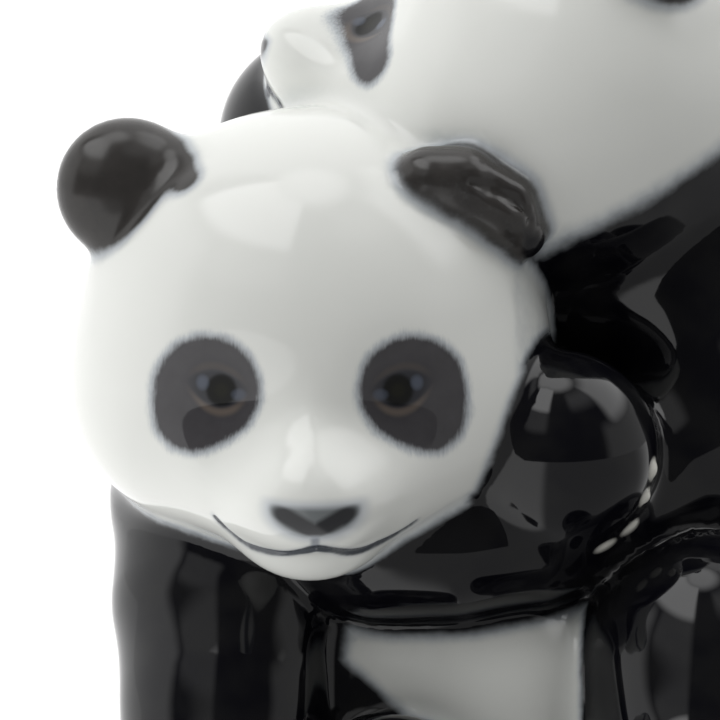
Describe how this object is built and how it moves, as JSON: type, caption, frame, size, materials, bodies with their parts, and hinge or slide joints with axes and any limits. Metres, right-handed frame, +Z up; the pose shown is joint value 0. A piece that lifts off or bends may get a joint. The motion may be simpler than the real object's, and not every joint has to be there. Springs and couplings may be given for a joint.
{
  "type": "panda figurine",
  "caption": "Glazed porcelain group of two pandas cast as one: one sits facing forward, the other leans over it from behind and hugs its chest.",
  "frame": {"origin": "centre of the bounding box's underside, on the shelf", "axes": "+Z up, -Y towards the viewer whom the front panda faces, +X to that viewer's right"},
  "size_m": [0.1468, 0.143, 0.1486],
  "materials": {
    "glazed_porcelain": "glazed porcelain, white with painted black parts under the glaze"
  },
  "bodies": {
    "root": {"panda_pair": "glazed_porcelain"}
  },
  "joints": []
}
